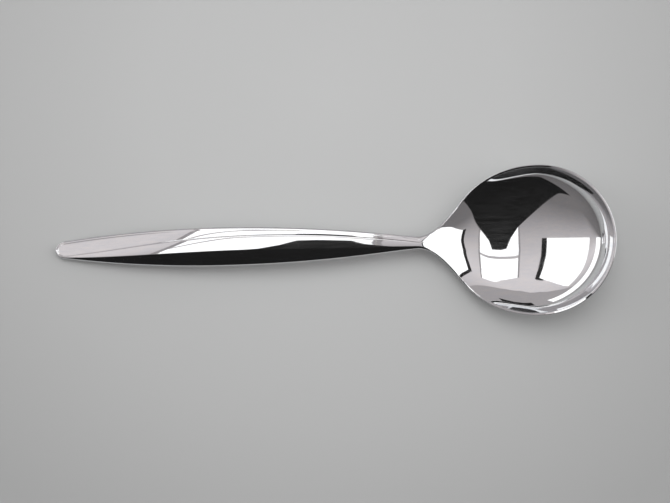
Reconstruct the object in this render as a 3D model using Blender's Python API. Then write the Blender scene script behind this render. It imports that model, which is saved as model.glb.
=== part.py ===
"""Round-bowl teaspoon in polished steel.

Three pieces: the bowl with its neck and tang, the handle with a blind socket for the tang, and the
ring of filler metal between them. The spoon lies bowl up on the plane z = 0, resting on a small flat
under the bowl and another under the butt of the handle. Lengths run along X from the neck, with the
bowl towards +X and the handle towards -X.
"""
import math
from collections import namedtuple

import bmesh
import bpy
from mathutils import Matrix, Vector

MM = 0.001

# Handle, seen from above
HANDLE_LENGTH = 92.0 * MM
HANDLE_WIDTH = 9.7 * MM
BUTT_WIDTH = 3.8 * MM
BUTT_ROUND = 2.2 * MM
WIDEST_FROM_BUTT = 41.3 * MM
NECK_WIDTH = 3.2 * MM
FORE_FULLNESS = 0.55
NECK_FULLNESS = 0.13
NECK_SWELL = 1.2

# Handle, seen from the side
ARCH_RADIUS = 225.0 * MM
ARCH_SPREAD = 46.0 * MM
ARCH_CREST_FROM_NECK = 29.5 * MM
BUTT_THICKNESS = 2.2 * MM
HANDLE_THICKNESS = 3.2 * MM
NECK_THICKNESS = 3.0 * MM
BUTT_REST_LENGTH = 2.6 * MM
REST_DEPTH = 0.15 * MM

# Crowned facets on top of the handle: crease and arris as shares of the half width, from butt to neck
CREASE_BUTT = ((0.0, -0.85), (0.13, 0.10), (0.36, 0.59), (0.68, 0.59))
CREASE_FORE = ((0.68, 0.59), (0.82, 0.59), (0.94, 0.50), (1.0, 0.0))
ARRIS_BUTT = ((0.0, -0.95), (0.11, -0.50), (0.33, -0.20), (0.55, -0.20))
ARRIS_FORE = ((0.55, -0.20), (0.73, -0.20), (0.88, -0.25), (1.0, -0.60))
UPPER_TILT = math.radians(0.5)
UPPER_TURN = math.radians(7.0)
MIDDLE_TILT = math.radians(-5.5)
MIDDLE_TURN = math.radians(9.0)
LOWER_TILT = math.radians(18.0)
LOWER_TURN = math.radians(14.0)
NECK_TURN = math.radians(24.0)
BUTT_TWIST = math.radians(11.5)
TWIST_FROM_BUTT = 10.0 * MM
TWIST_REACH = 38.0 * MM
BUTT_CROWN_LOSS = 0.7
BUTT_CREASE_LOSS = 0.6
LOWER_EDGE = 0.9 * MM
EDGE_ROUND = 0.35 * MM
UNDERSIDE_CROWN = 0.5 * MM
SHANK_BLEND = 9.0 * MM
BUTT_BLEND = 8.0 * MM
CREASE_RUN = 6.0 * MM
FLANK_RUN = 9.0 * MM

# Bowl, seen from above
BOWL_LENGTH = 48.0 * MM
BOWL_WIDTH = 37.6 * MM
BOWL_WIDEST_FROM_NECK = 29.4 * MM
BOWL_REAR_REACH = 21.7 * MM
SHOULDER_ANGLE = math.radians(49.5)
FLARE_NECK_FULLNESS = 0.4
FLARE_BOWL_FULLNESS = 0.26
LIP_WIDTH = 0.4 * MM
SHOULDER_LIP = 0.15 * MM
LIP_FROM_NECK = 8.0 * MM
LIP_REACH = 12.0 * MM
LIP_ROUND_SHARE = 0.8

# Bowl, seen from the side: a shallow dish, and a rim that curls up round it
BOWL_DEEPEST_FROM_NECK = 17.5 * MM
BOWL_WALL = 1.2 * MM
DISH_TIP_HEIGHT = 13.5 * MM
DISH_TIP_ANGLE = math.radians(37.7)
DISH_TIP_REACH = 13.0 * MM
LIP_EDGE = 0.9 * MM
NECK_SLOPE_REACH = 6.0 * MM
REAR_FLOOR_REACH = 12.0 * MM
FORE_FLOOR_REACH = 7.0 * MM
EDGE_LOW_FROM_NECK = 10.5 * MM
EDGE_LOW_HEIGHT = 3.4 * MM
EDGE_NECK_REACH = 5.6 * MM
EDGE_DIP_REACH = 5.6 * MM
EDGE_RISE_REACH = 18.5 * MM
EDGE_TIP_REACH = 13.5 * MM
EDGE_TIP_DROP = 3.6 * MM
UNDERSIDE_BLEND = 10.0 * MM
CURL_HEIGHT = 2.8 * MM
CURL_WIDTH = 5.0 * MM
CURL_POWER = 2.3
CURL_FROM_NECK = 8.5 * MM
CURL_REACH = 18.0 * MM

# Brazed joint between shank and handle
SEAM_FROM_NECK = 10.5 * MM
BRAZE_THICKNESS = 0.4 * MM
FIT_GAP = 0.3 * MM
TANG_LENGTH = 14.0 * MM
TANG_WIDTH = 2.2 * MM
TANG_THICKNESS = 1.2 * MM
TANG_SHIFT = 0.2 * MM
TANG_ROOT = 2.0 * MM
TANG_BEVEL = 0.25 * MM
TANG_BEVEL_STEPS = 2
ROUND_PROFILE = 0.5

# Polished metals
STEEL_COLOUR = (0.80, 0.79, 0.78)
STEEL_ROUGHNESS = 0.05
BRAZE_COLOUR = (0.82, 0.81, 0.77)
BRAZE_ROUGHNESS = 0.12

# Mesh fineness
UPPER_STEPS = 6
MIDDLE_STEPS = 6
LOWER_STEPS = 8
TOP_STEPS = UPPER_STEPS + MIDDLE_STEPS + LOWER_STEPS
UNDER_STEPS = 20
EDGE_GATHER = 0.88
BUTT_STEPS = 6
HANDLE_STEPS = 30
SHANK_STEPS = 6
FLARE_STEPS = 14
BOWL_STEPS = 28
CURVE_HALVINGS = 40
MERGE_DISTANCE = 0.001 * MM
SHARP_ANGLE = math.radians(35.0)

# Places along the spoon that follow from the sizes above
BUTT_X = -HANDLE_LENGTH
WIDEST_X = BUTT_X + WIDEST_FROM_BUTT
CREST_X = -ARCH_CREST_FROM_NECK
SEAM_X = -SEAM_FROM_NECK
HANDLE_FACE_X = SEAM_X - 0.5 * BRAZE_THICKNESS - FIT_GAP
SHANK_FACE_X = SEAM_X + 0.5 * BRAZE_THICKNESS + FIT_GAP
BRAZE_FACES_X = (SEAM_X - 0.5 * BRAZE_THICKNESS, SEAM_X + 0.5 * BRAZE_THICKNESS)
FLOOR_Z = BOWL_WALL - REST_DEPTH
HALF_ROUND = math.sqrt(0.5)

Station = namedtuple("Station", "x half inward_x inward_y")


def bezier(points, t):
    """Point of a cubic curve at t between 0 and 1."""
    s = 1.0 - t
    weights = (s ** 3, 3.0 * s * s * t, 3.0 * s * t * t, t ** 3)
    return tuple(sum(w * p[axis] for w, p in zip(weights, points)) for axis in (0, 1))


def curve_at(points, x):
    """Second coordinate of a cubic curve where its first coordinate, which only grows, equals x."""
    low, high = 0.0, 1.0
    for _ in range(CURVE_HALVINGS):
        middle = 0.5 * (low + high)
        if bezier(points, middle)[0] < x:
            low = middle
        else:
            high = middle
    return bezier(points, 0.5 * (low + high))[1]


def ease(share):
    """Smooth step from 0 to 1."""
    share = min(max(share, 0.0), 1.0)
    return share * share * (3.0 - 2.0 * share)


# Plan outline

def butt_half_width(x):
    """Half width of the handle between butt and widest place, without the rounded end."""
    share = 1.0 - (x - BUTT_X) / WIDEST_FROM_BUTT
    return 0.5 * (HANDLE_WIDTH - (HANDLE_WIDTH - BUTT_WIDTH) * share * share)


def handle_half_width(x):
    """Half width of the handle and shank at x, for x up to the neck."""
    if x <= WIDEST_X:
        return butt_half_width(x)
    span = -WIDEST_X
    neck_side = 0.5 * NECK_WIDTH
    fore = (
        (WIDEST_X, 0.5 * HANDLE_WIDTH),
        (WIDEST_X + FORE_FULLNESS * span, 0.5 * HANDLE_WIDTH),
        (-NECK_FULLNESS * span, NECK_SWELL * neck_side),
        (0.0, neck_side),
    )
    return curve_at(fore, x)


def bowl_outline_point(angle):
    """Point of the bowl's outline at an angle from its widest place: -90 degrees rear, 90 the tip."""
    reach = BOWL_LENGTH - BOWL_WIDEST_FROM_NECK if angle > 0.0 else BOWL_REAR_REACH
    x = BOWL_WIDEST_FROM_NECK + reach * math.sin(angle)
    return x, 0.5 * BOWL_WIDTH * math.cos(angle)


def flare_curve():
    """Outline from the neck out to the shoulder of the bowl."""
    end_x, end_half = bowl_outline_point(-SHOULDER_ANGLE)
    slope = 0.5 * BOWL_WIDTH * math.tan(SHOULDER_ANGLE) / BOWL_REAR_REACH
    back = FLARE_BOWL_FULLNESS * end_x
    neck_side = 0.5 * NECK_WIDTH
    return (
        (0.0, neck_side),
        (FLARE_NECK_FULLNESS * end_x, neck_side),
        (end_x - back, end_half - back * slope),
        (end_x, end_half),
    )


def outline_points():
    """Plan outline on the +Y side, from the butt to the tip of the bowl, as (x, half width)."""
    points = []
    for step in range(BUTT_STEPS):
        angle = 0.5 * math.pi * step / BUTT_STEPS
        x = BUTT_X + BUTT_ROUND * (1.0 - math.cos(angle))
        points.append((x, butt_half_width(x) * math.sin(angle)))
    handle_start = BUTT_X + BUTT_ROUND
    for step in range(HANDLE_STEPS + 1):
        x = handle_start + (HANDLE_FACE_X - handle_start) * step / HANDLE_STEPS
        points.append((x, handle_half_width(x)))
    points.extend((x, handle_half_width(x)) for x in BRAZE_FACES_X)
    for step in range(SHANK_STEPS):
        x = SHANK_FACE_X * (1.0 - step / SHANK_STEPS)
        points.append((x, handle_half_width(x)))
    flare = flare_curve()
    for step in range(FLARE_STEPS):
        points.append(bezier(flare, step / FLARE_STEPS))
    for step in range(BOWL_STEPS + 1):
        angle = -SHOULDER_ANGLE + (0.5 * math.pi + SHOULDER_ANGLE) * step / BOWL_STEPS
        points.append(bowl_outline_point(angle))
    points[-1] = (BOWL_LENGTH, 0.0)
    return points


def stations():
    """Outline points with the direction, in plan, that leads inwards from each."""
    points = outline_points()
    result = []
    for index, (x, half) in enumerate(points):
        if index == 0:
            inward = Vector((1.0, 0.0))
        elif index == len(points) - 1:
            inward = Vector((-1.0, 0.0))
        else:
            along = Vector(points[index + 1]) - Vector(points[index - 1])
            inward = Vector((along.y, -along.x)).normalized()
        result.append(Station(x, half, inward.x, inward.y))
    return result


# Side profile

def arch_fall(x):
    """Fall of the handle's arch from its crest: round at the crest, straighter away from it."""
    run = (x - CREST_X) / ARCH_SPREAD
    return ARCH_SPREAD * ARCH_SPREAD / ARCH_RADIUS * (math.sqrt(1.0 + run * run) - 1.0)


def arch_height(x):
    """Height of the crease on top of the handle."""
    return BUTT_THICKNESS - REST_DEPTH + arch_fall(BUTT_X + BUTT_REST_LENGTH) - arch_fall(x)


def handle_thickness(x):
    """Thickness of the handle under its crease."""
    if x <= WIDEST_X:
        share = ease((x - BUTT_X) / WIDEST_FROM_BUTT)
        return BUTT_THICKNESS + (HANDLE_THICKNESS - BUTT_THICKNESS) * share
    share = ease((x - WIDEST_X) / -WIDEST_X)
    return HANDLE_THICKNESS + (NECK_THICKNESS - HANDLE_THICKNESS) * share


NECK_Z = arch_height(0.0)
NECK_SLOPE = CREST_X / (ARCH_RADIUS * math.hypot(1.0, CREST_X / ARCH_SPREAD))


def floor_curves(end_x, neck_z, floor_z, end_z):
    """Lengthwise profile of the bowl from the neck down to the deepest place and up to the tip."""
    deepest = BOWL_DEEPEST_FROM_NECK
    rear = (
        (0.0, neck_z),
        (NECK_SLOPE_REACH, neck_z + NECK_SLOPE * NECK_SLOPE_REACH),
        (deepest - REAR_FLOOR_REACH, floor_z),
        (deepest, floor_z),
    )
    fore = (
        (deepest, floor_z),
        (deepest + FORE_FLOOR_REACH, floor_z),
        (end_x - DISH_TIP_REACH, end_z - DISH_TIP_REACH * math.tan(DISH_TIP_ANGLE)),
        (end_x, end_z),
    )
    return rear, fore


INNER_TIP_X = BOWL_LENGTH - LIP_WIDTH
INNER_FLOOR = floor_curves(INNER_TIP_X, NECK_Z, FLOOR_Z, DISH_TIP_HEIGHT)
OUTER_FLOOR = floor_curves(
    BOWL_LENGTH, NECK_Z - NECK_THICKNESS, FLOOR_Z - BOWL_WALL, DISH_TIP_HEIGHT - LIP_EDGE
)
EDGE_LINE = (
    (
        (0.0, NECK_Z),
        (EDGE_NECK_REACH, NECK_Z + NECK_SLOPE * EDGE_NECK_REACH),
        (EDGE_LOW_FROM_NECK - EDGE_DIP_REACH, EDGE_LOW_HEIGHT),
        (EDGE_LOW_FROM_NECK, EDGE_LOW_HEIGHT),
    ),
    (
        (EDGE_LOW_FROM_NECK, EDGE_LOW_HEIGHT),
        (EDGE_LOW_FROM_NECK + EDGE_RISE_REACH, EDGE_LOW_HEIGHT),
        (INNER_TIP_X - EDGE_TIP_REACH, DISH_TIP_HEIGHT - EDGE_TIP_DROP),
        (INNER_TIP_X, DISH_TIP_HEIGHT),
    ),
)


def profile_height(curves, x):
    """Height at x of a profile made of a rear and a fore curve."""
    rear, fore = curves
    return curve_at(rear if x < fore[0][0] else fore, x)


# Cross sections

def crowned_drop(distance, width, tilt, turn):
    """Fall across a facet that starts at a tilt and turns further down over its width."""
    return math.tan(tilt) * distance + 0.5 * turn * distance * distance / max(width, MERGE_DISTANCE)


def facet_lines(x, half):
    """Places of the crease and the arris across the handle; past the neck they run out to the edges."""
    place = min((x - BUTT_X) / HANDLE_LENGTH, 1.0)
    past = ease(x / CREASE_RUN)
    crease = profile_height((CREASE_BUTT, CREASE_FORE), place)
    arris = profile_height((ARRIS_BUTT, ARRIS_FORE), place)
    return half * (crease + (1.0 - crease) * past), half * (arris - (1.0 + arris) * past)


def facet_drop(x, half, y):
    """Fall across the top at x and y: upper, middle and lower facet, fading out into the bowl."""
    crease, arris = facet_lines(x, half)
    nearness = 1.0 - ease((x - BUTT_X - TWIST_FROM_BUTT) / TWIST_REACH)
    upper_turn = UPPER_TURN * (1.0 - BUTT_CROWN_LOSS * nearness) + NECK_TURN * ease(1.0 + x / SHANK_BLEND)
    upper_tilt = UPPER_TILT + BUTT_TWIST * nearness
    middle_tilt = MIDDLE_TILT * (1.0 - BUTT_CREASE_LOSS * nearness) - BUTT_TWIST * nearness
    if y >= crease:
        drop = crowned_drop(y - crease, half - crease, upper_tilt, upper_turn)
    elif y >= arris:
        drop = crowned_drop(crease - y, crease - arris, middle_tilt, MIDDLE_TURN)
    else:
        middle_drop = crowned_drop(crease - arris, crease - arris, middle_tilt, MIDDLE_TURN)
        edge_drop = crowned_drop(half + arris, half + arris, LOWER_TILT, LOWER_TURN)
        spare = handle_thickness(x) - UNDERSIDE_CROWN - LOWER_EDGE - middle_drop
        limit = min(1.0, spare / max(edge_drop, MERGE_DISTANCE))
        drop = middle_drop + limit * crowned_drop(arris - y, half + arris, LOWER_TILT, LOWER_TURN)
    return drop * ease(1.0 - x / FLANK_RUN)


def edge_shares(steps):
    """Places across a section from 1 to -1 of its half width, closer together near the edges."""
    limit = 0.5 * math.pi * EDGE_GATHER
    return [math.sin(limit * (1.0 - 2.0 * i / steps)) / math.sin(limit) for i in range(steps + 1)]


def facet_widths(x, edge_half):
    """Places across the top, from +Y to -Y, with a point on each crease; evenly spread at both ends."""
    crease, arris = facet_lines(x, edge_half)
    places = [edge_half + (crease - edge_half) * i / UPPER_STEPS for i in range(UPPER_STEPS)]
    places += [crease + (arris - crease) * i / MIDDLE_STEPS for i in range(MIDDLE_STEPS)]
    places += [arris + (-edge_half - arris) * i / LOWER_STEPS for i in range(LOWER_STEPS + 1)]
    spread = max(ease(x / FLANK_RUN), 1.0 - ease((x - BUTT_X) / BUTT_BLEND))
    even = [edge_half * share for share in edge_shares(TOP_STEPS)]
    return [y + (target - y) * spread for y, target in zip(places, even)]


def arc_bulge(sag, half):
    """How far round a section goes: square of the sine of its half angle, at most a half circle."""
    if sag >= half:
        return 1.0
    return (2.0 * sag * half / (half * half + sag * sag)) ** 2


def arc_rise(bulge, share):
    """Rise of a round section, as a share of its sag, at a share of its half width."""
    if bulge < MERGE_DISTANCE:
        return share * share
    inner = math.sqrt(max(0.0, 1.0 - bulge * share * share))
    return (1.0 - inner) / (1.0 - math.sqrt(1.0 - bulge))


def under_rise(x, bulge, share):
    """Rise across the underside, as a share of its sag: round at the neck, then a shallow bend."""
    blend = ease(x / UNDERSIDE_BLEND)
    return arc_rise(bulge, share) * (1.0 - blend) + share * share * blend


def edge_distance(x, y, edge):
    """Distance in plan from a point to the edge line on its own side."""
    point = Vector((x, abs(y)))
    nearest = math.inf
    for start, stop in zip(edge, edge[1:]):
        along = stop - start
        place = (point - start).dot(along) / max(along.length_squared, MERGE_DISTANCE ** 2)
        nearest = min(nearest, (point - start - along * min(max(place, 0.0), 1.0)).length)
    return nearest


def curl_rise(x, distance):
    """Rise of the rim above the dish at a distance inside its edge."""
    height = CURL_HEIGHT * ease((x - CURL_FROM_NECK) / CURL_REACH)
    return height * max(0.0, 1.0 - distance / CURL_WIDTH) ** CURL_POWER


def bowl_lip(x):
    """Width of the lip between the outline and the hollow."""
    return SHOULDER_LIP + (LIP_WIDTH - SHOULDER_LIP) * ease((x - LIP_FROM_NECK) / LIP_REACH)


def inner_edge(station):
    """Point in plan where the hollow meets the lip."""
    lip = bowl_lip(station.x)
    return Vector((station.x + station.inward_x * lip, max(0.0, station.half + station.inward_y * lip)))


def bowl_edges(places):
    """Plan lines of the hollow's edge and of the outline, from the neck to the tip."""
    bowl = [station for station in places if station.x >= 0.0]
    return [inner_edge(station) for station in bowl], [Vector((s.x, s.half)) for s in bowl]


def ring_from(top, lips, under):
    """Closed ring of points: top from +Y to -Y, lip down the -Y side, underside back, lip up."""
    ring = list(top)
    ring += [Vector((p.x, -p.y, p.z)) for p in lips[1]]
    ring += reversed(under)
    ring += reversed(lips[0])
    return ring


def lip_points(station, edge_z, corner, side):
    """Rounded outer corner on one side: its start, its middle and the point on the side face."""
    points = []
    for inset, fall in ((1.0, 0.0), (1.0 - HALF_ROUND, 1.0 - HALF_ROUND), (0.0, 1.0)):
        x = station.x + station.inward_x * corner * inset
        half = max(0.0, station.half + station.inward_y * corner * inset)
        points.append(Vector((x, half, edge_z(side * half) - corner * fall)))
    return points


def handle_ring(station):
    """Cross section of the handle or shank."""
    rounding = ease(1.0 + station.x / SHANK_BLEND)
    inset = 2.0 * EDGE_ROUND * (1.0 - rounding) + SHOULDER_LIP * rounding
    corner = EDGE_ROUND * (1.0 - rounding) + LIP_ROUND_SHARE * SHOULDER_LIP * rounding
    top_x = station.x + station.inward_x * inset
    edge_half = max(0.0, station.half + station.inward_y * inset)
    half = max(station.half, edge_half, MERGE_DISTANCE)

    def edge_z(y):
        return arch_height(station.x) - facet_drop(station.x, half, y)

    top = [
        Vector((top_x, y, arch_height(top_x) - facet_drop(top_x, half, y)))
        for y in facet_widths(top_x, edge_half)
    ]
    lips = [lip_points(station, edge_z, corner, side) for side in (1.0, -1.0)]
    thickness = handle_thickness(station.x)
    base = arch_height(station.x) - thickness
    sag = thickness - LIP_EDGE
    bulge = arc_bulge(sag, max(station.half, MERGE_DISTANCE))
    crown = UNDERSIDE_CROWN * station.half / (0.5 * HANDLE_WIDTH)
    under = []
    for share in edge_shares(UNDER_STEPS):
        rise = crown * share * share * (1.0 - rounding) + sag * arc_rise(bulge, share) * rounding
        under.append(Vector((station.x, station.half * share, base + rise)))
    return ring_from(top, lips, under)


def bowl_ring(station, inner_line, outer_line):
    """Cross section of the bowl: hollow top between two lips, round underside."""
    top_x, inner_half = inner_edge(station)
    edge_z = profile_height(EDGE_LINE, max(0.0, top_x))
    floor_z = profile_height(INNER_FLOOR, max(0.0, top_x))
    sag = max(0.0, edge_z - floor_z)
    half = max(station.half, MERGE_DISTANCE)
    top = []
    for y in facet_widths(station.x, inner_half):
        across = y / max(inner_half, MERGE_DISTANCE)
        curl = curl_rise(top_x, edge_distance(top_x, y, inner_line))
        z = floor_z + sag * across * across + curl - facet_drop(station.x, half, y)
        top.append(Vector((top_x, y, z)))
    rim_z = edge_z + curl_rise(top_x, 0.0)

    def lip_z(y):
        return rim_z - facet_drop(station.x, half, y)

    corner = LIP_ROUND_SHARE * bowl_lip(station.x)
    lips = [lip_points(station, lip_z, corner, side) for side in (1.0, -1.0)]
    outer_z = profile_height(OUTER_FLOOR, station.x)
    outer_sag = max(0.0, edge_z - LIP_EDGE - outer_z)
    bulge = arc_bulge(outer_sag, half)
    under = []
    for share in edge_shares(UNDER_STEPS):
        y = station.half * share
        curl = curl_rise(top_x, edge_distance(station.x, y, outer_line))
        under.append(Vector((station.x, y, outer_z + outer_sag * under_rise(station.x, bulge, share) + curl)))
    return ring_from(top, lips, under)


def section_ring(station, edges):
    """Cross section anywhere on the spoon, cut flat where it would dip below the table."""
    ring = handle_ring(station) if station.x < 0.0 else bowl_ring(station, *edges)
    for point in ring:
        point.z = max(point.z, 0.0)
    return ring


# Pieces

def skin_mesh(name, rings, cap_first, cap_last):
    """Closed mesh through a row of rings, with a flat cap where an end isn't drawn to an edge."""
    bm = bmesh.new()
    rows = [[bm.verts.new(point) for point in ring] for ring in rings]
    count = len(rows[0])
    for row, following in zip(rows, rows[1:]):
        for i in range(count):
            j = (i + 1) % count
            bm.faces.new((row[i], row[j], following[j], following[i]))
    if cap_first:
        bm.faces.new(rows[0])
    if cap_last:
        bm.faces.new(rows[-1])
    bmesh.ops.remove_doubles(bm, verts=bm.verts, dist=MERGE_DISTANCE)
    bmesh.ops.dissolve_degenerate(bm, edges=bm.edges, dist=MERGE_DISTANCE)
    bmesh.ops.recalc_face_normals(bm, faces=bm.faces)
    mesh = bpy.data.meshes.new(name)
    bm.to_mesh(mesh)
    bm.free()
    mesh.shade_smooth()
    mesh.set_sharp_from_angle(angle=SHARP_ANGLE)
    return mesh


def tang_mesh(name, clearance, root, bevel):
    """Straight bar along the joint, from root in front of the seam to the tang's end."""
    front_x = SHANK_FACE_X
    end_x = HANDLE_FACE_X - TANG_LENGTH
    front = Vector((front_x, TANG_SHIFT, arch_height(front_x) - 0.5 * handle_thickness(front_x)))
    end = Vector((end_x, TANG_SHIFT, arch_height(end_x) - 0.5 * handle_thickness(end_x)))
    along = (front - end).normalized()
    start = end - along * clearance
    stop = front + along * root
    tilt = Matrix.Rotation(-math.asin(along.z), 4, "Y")
    size = Matrix.Diagonal((
        (stop - start).length,
        TANG_WIDTH + 2.0 * clearance,
        TANG_THICKNESS + 2.0 * clearance,
        1.0,
    ))
    bm = bmesh.new()
    bmesh.ops.create_cube(bm, size=1.0, matrix=Matrix.Translation(0.5 * (start + stop)) @ tilt @ size)
    bmesh.ops.bevel(
        bm, geom=bm.edges[:], offset=bevel, segments=TANG_BEVEL_STEPS, profile=ROUND_PROFILE,
        affect="EDGES", clamp_overlap=True,
    )
    mesh = bpy.data.meshes.new(name)
    bm.to_mesh(mesh)
    bm.free()
    return mesh


def polished_metal(name, colour, roughness):
    """Bright metal surface."""
    material = bpy.data.materials.new(name)
    material.use_nodes = True
    shader = material.node_tree.nodes["Principled BSDF"]
    shader.inputs["Base Color"].default_value = (*colour, 1.0)
    shader.inputs["Metallic"].default_value = 1.0
    shader.inputs["Roughness"].default_value = roughness
    return material


def add_object(name, mesh, parent):
    """Object of a piece, placed with its parent at the neck."""
    piece = bpy.data.objects.new(name, mesh)
    bpy.context.collection.objects.link(piece)
    piece.parent = parent
    return piece


def add_guide(name, mesh, parent):
    """Shape that only cuts or joins, and isn't a piece itself."""
    guide = add_object(name, mesh, parent)
    guide.hide_render = True
    guide.display_type = "WIRE"
    return guide


def add_boolean(piece, other, operation):
    """Join a guide to a piece, or cut it out."""
    modifier = piece.modifiers.new(operation.title(), "BOOLEAN")
    modifier.operation = operation
    modifier.solver = "EXACT"
    modifier.object = other


def main():
    for old in list(bpy.data.objects):
        bpy.data.objects.remove(old, do_unlink=True)

    neck = bpy.data.objects.new("neck", None)
    bpy.context.collection.objects.link(neck)
    neck.location.x = 0.5 * (HANDLE_LENGTH - BOWL_LENGTH)

    places = stations()
    edges = bowl_edges(places)
    handle_rings = [section_ring(s, edges) for s in places if s.x <= HANDLE_FACE_X + MERGE_DISTANCE]
    bowl_rings = [section_ring(s, edges) for s in places if s.x >= SHANK_FACE_X - MERGE_DISTANCE]
    braze_rings = [
        section_ring(s, edges) for s in places
        if BRAZE_FACES_X[0] - MERGE_DISTANCE <= s.x <= BRAZE_FACES_X[1] + MERGE_DISTANCE
    ]

    bowl = add_object("bowl", skin_mesh("bowl", bowl_rings, True, False), neck)
    handle = add_object("handle", skin_mesh("handle", handle_rings, False, True), neck)
    braze_ring = add_object("braze_ring", skin_mesh("braze_ring", braze_rings, True, True), neck)

    tang = add_guide("tang", tang_mesh("tang", 0.0, TANG_ROOT, TANG_BEVEL), neck)
    socket = add_guide("socket", tang_mesh("socket", FIT_GAP, TANG_ROOT, TANG_BEVEL), neck)
    add_boolean(bowl, tang, "UNION")
    add_boolean(handle, socket, "DIFFERENCE")
    add_boolean(braze_ring, socket, "DIFFERENCE")

    bowl.data.materials.append(polished_metal("bowl_steel", STEEL_COLOUR, STEEL_ROUGHNESS))
    handle.data.materials.append(polished_metal("handle_steel", STEEL_COLOUR, STEEL_ROUGHNESS))
    braze_ring.data.materials.append(polished_metal("braze_silver", BRAZE_COLOUR, BRAZE_ROUGHNESS))


main()
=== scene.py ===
"""Looks of the round-bowl teaspoon: mirror-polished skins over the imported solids, room light and camera."""
import math

import bmesh
import bpy
import numpy as np
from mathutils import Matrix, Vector


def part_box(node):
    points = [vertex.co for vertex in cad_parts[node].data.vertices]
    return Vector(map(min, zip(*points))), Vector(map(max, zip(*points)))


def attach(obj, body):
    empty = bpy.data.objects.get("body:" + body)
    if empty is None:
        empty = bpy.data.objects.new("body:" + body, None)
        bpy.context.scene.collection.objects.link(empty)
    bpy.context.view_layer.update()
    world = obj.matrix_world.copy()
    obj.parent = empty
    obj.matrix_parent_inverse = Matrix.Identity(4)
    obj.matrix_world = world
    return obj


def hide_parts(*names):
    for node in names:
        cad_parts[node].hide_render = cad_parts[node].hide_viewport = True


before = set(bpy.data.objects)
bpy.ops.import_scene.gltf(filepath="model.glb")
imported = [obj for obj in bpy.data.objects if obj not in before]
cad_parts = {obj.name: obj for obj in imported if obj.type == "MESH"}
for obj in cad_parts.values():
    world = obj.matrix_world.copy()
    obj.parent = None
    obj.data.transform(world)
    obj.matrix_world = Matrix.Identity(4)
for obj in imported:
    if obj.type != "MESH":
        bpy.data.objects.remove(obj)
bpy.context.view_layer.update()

MM = 0.001

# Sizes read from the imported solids
BOWL_LOW, BOWL_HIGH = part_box("bowl")
HANDLE_LOW, HANDLE_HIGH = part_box("handle")
BRAZE_LOW, BRAZE_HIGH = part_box("braze_ring")
TIP_X = BOWL_HIGH.x
BUTT_X = HANDLE_LOW.x
BOWL_HALF_WIDTH = BOWL_HIGH.y
HANDLE_HALF_WIDTH = HANDLE_HIGH.y
BRAZE_BAND_X = (BRAZE_LOW.x, BRAZE_HIGH.x)

# Plan of the handle
BOWL_LENGTH = 48.0 * MM
NECK_X = TIP_X - BOWL_LENGTH
HANDLE_LENGTH = NECK_X - BUTT_X
BUTT_HALF_WIDTH = 1.9 * MM
BUTT_ROUND = 2.2 * MM
WIDEST_FROM_BUTT = 41.3 * MM
NECK_HALF_WIDTH = 1.6 * MM
FORE_FULLNESS = 0.55
NECK_FULLNESS = 0.13
NECK_SWELL = 1.2

# Side view of the handle
ARCH_RADIUS = 225.0 * MM
ARCH_SPREAD = 46.0 * MM
ARCH_CREST_FROM_NECK = 29.5 * MM
BUTT_THICKNESS = 2.2 * MM
HANDLE_THICKNESS = 3.2 * MM
NECK_THICKNESS = 3.0 * MM
BUTT_REST_LENGTH = 2.6 * MM
REST_DEPTH = 0.15 * MM

# Facets of the handle: crease and arris as shares of the half width, by place from butt to neck
CREASE_BUTT = ((0.0, -0.85), (0.13, 0.10), (0.36, 0.59), (0.68, 0.59))
CREASE_FORE = ((0.68, 0.59), (0.82, 0.59), (0.94, 0.50), (1.0, 0.0))
ARRIS_BUTT = ((0.0, -0.95), (0.11, -0.50), (0.33, -0.20), (0.55, -0.20))
ARRIS_FORE = ((0.55, -0.20), (0.73, -0.20), (0.88, -0.25), (1.0, -0.60))
UPPER_TILT = math.radians(0.5)
UPPER_TURN = math.radians(7.0)
MIDDLE_TILT = math.radians(-5.5)
MIDDLE_TURN = math.radians(9.0)
LOWER_TILT = math.radians(18.0)
LOWER_TURN = math.radians(14.0)
BUTT_TWIST = math.radians(11.5)
TWIST_FROM_BUTT = 10.0 * MM
TWIST_REACH = 38.0 * MM
BUTT_CROWN_LOSS = 0.7
BUTT_CREASE_LOSS = 0.6
EDGE_ROUND = 0.35 * MM
HEEL_ROUND = 0.4 * MM
UNDERSIDE_CROWN = 0.5 * MM
FACET_FADE = 9.0 * MM
CREASE_RUN = 6.0 * MM
FLANK_RUN = 9.0 * MM
NECK_TURN = math.radians(24.0)
GROOVE_FADE = 3.0 * MM
GROOVE_END = 4.0 * MM
GROOVE_HALF = 0.12 * MM
GROOVE_DEPTH = 0.03 * MM
ARRIS_HALF = 0.10 * MM

# Plan of the bowl
BOWL_WIDEST_FROM_NECK = 29.4 * MM
BOWL_REAR_REACH = 21.7 * MM
SHOULDER_ANGLE = math.radians(49.5)
FLARE_NECK_FULLNESS = 0.4
FLARE_BOWL_FULLNESS = 0.26
LIP_WIDTH = 0.55 * MM
SHOULDER_LIP = 0.35 * MM
LIP_FROM_NECK = 8.0 * MM
LIP_REACH = 12.0 * MM
LIP_ROUND = 0.18 * MM
SHOULDER_ROUND = 0.3 * MM
LIP_TILT = math.radians(18.0)
BEVEL_PLACES = (0.06, 0.5, 0.94)

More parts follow.
